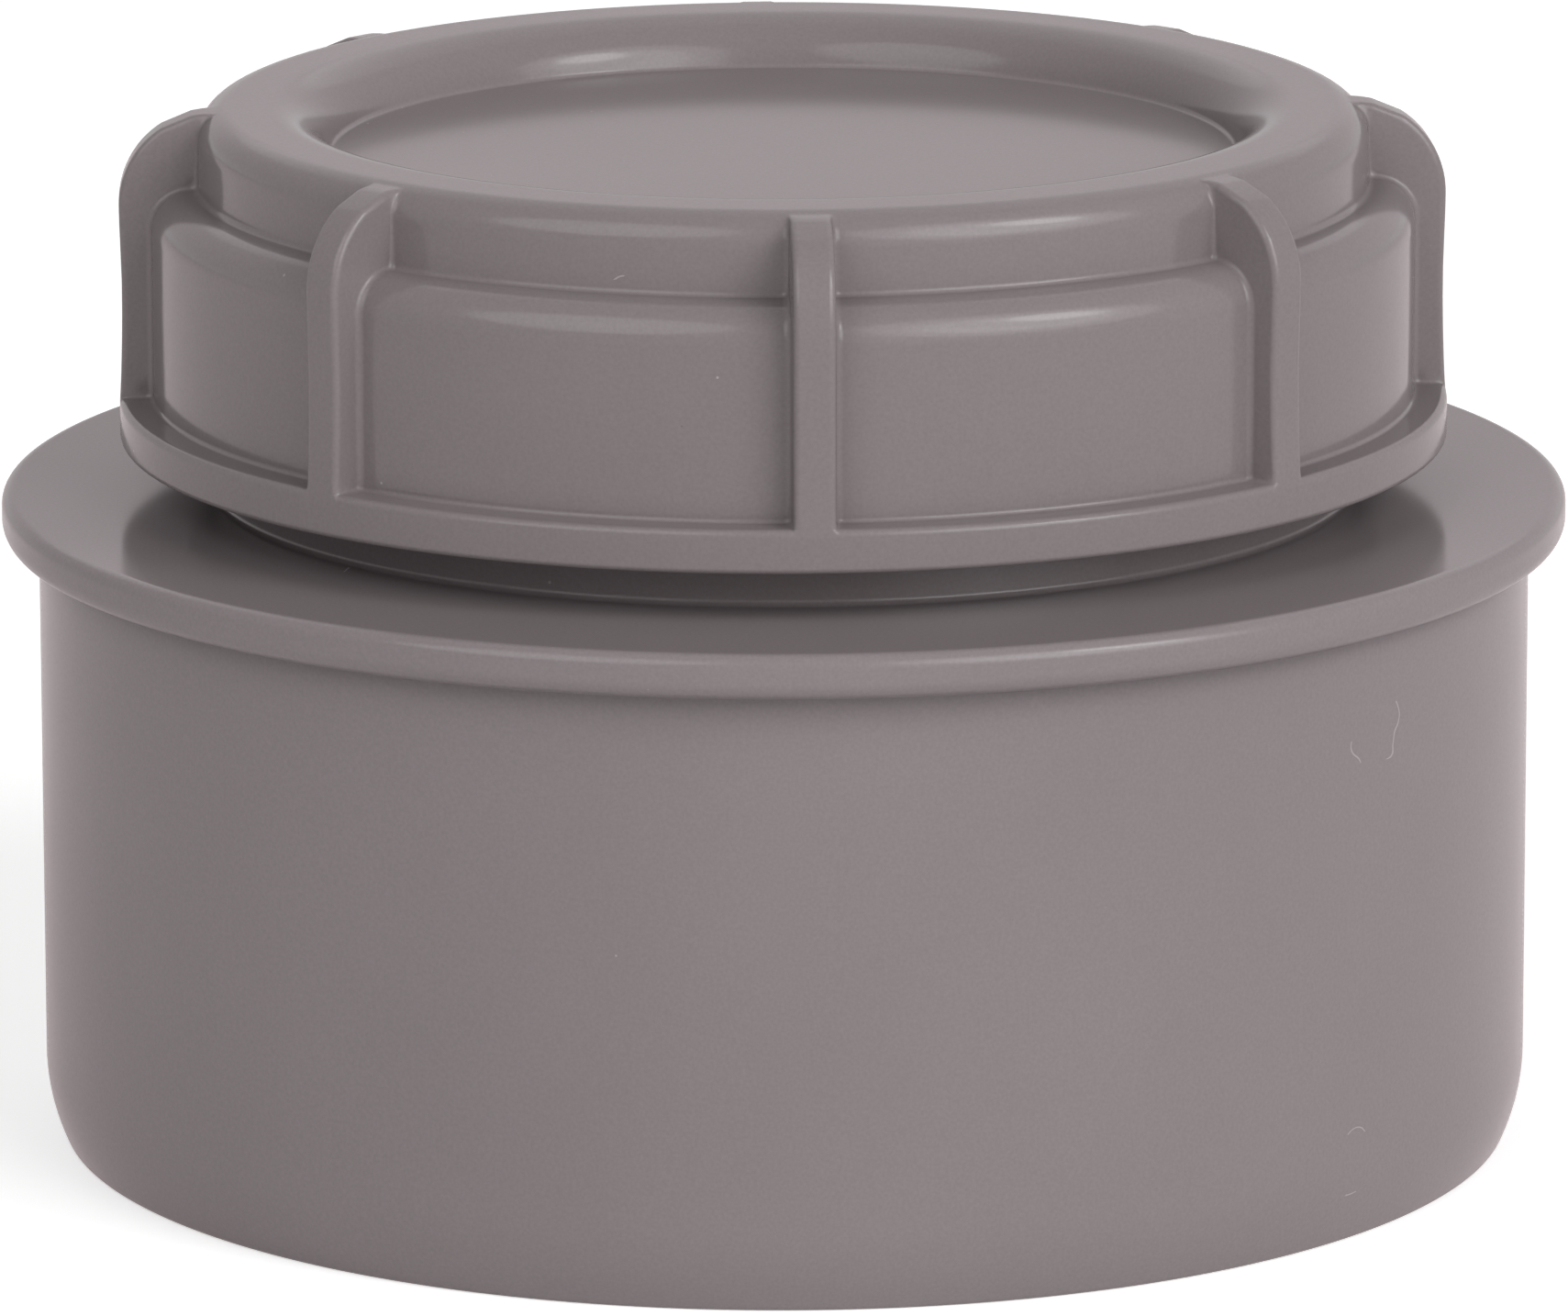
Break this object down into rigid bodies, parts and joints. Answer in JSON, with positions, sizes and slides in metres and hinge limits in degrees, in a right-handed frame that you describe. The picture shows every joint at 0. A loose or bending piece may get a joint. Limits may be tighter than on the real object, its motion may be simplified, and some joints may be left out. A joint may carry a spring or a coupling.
{
  "type": "pipe end cap with screw access cap",
  "caption": "Plastic end cap for a waste pipe: flanged spigot with a threaded neck, closed by a ribbed screw cap with a rubber sealing ring.",
  "frame": {"origin": "centre of the spigot's open end, on the surface that the part stands on", "axes": "+Z along the spigot, towards the screw cap; -Y is the side that the picture shows"},
  "size_m": [0.1154, 0.1154, 0.0769],
  "materials": {
    "spigot_plastic": "moulded grey plastic, satin to semi-gloss with fine grain",
    "cap_plastic": "moulded grey plastic, satin to semi-gloss with fine grain",
    "seal_rubber": "matte black rubber"
  },
  "bodies": {
    "spigot": {"spigot_body": "spigot_plastic"},
    "seal": {"sealing_ring": "seal_rubber"},
    "cap": {"screw_cap": "cap_plastic"}
  },
  "joints": [
    {"name": "cap_rise", "type": "slide", "parent": "spigot", "child": "seal", "axis": [0, 0, 1], "range_m": [0, 0.0126]},
    {"name": "cap_turn", "type": "hinge", "parent": "seal", "child": "cap", "pos_m": [0, 0, 0.0523], "axis": [0, 0, 1], "range_deg": [0, 900]}
  ],
  "couplings": [
    {"joint": "cap_rise", "follows": "cap_turn", "m_per_rad": 0.00079577}
  ]
}
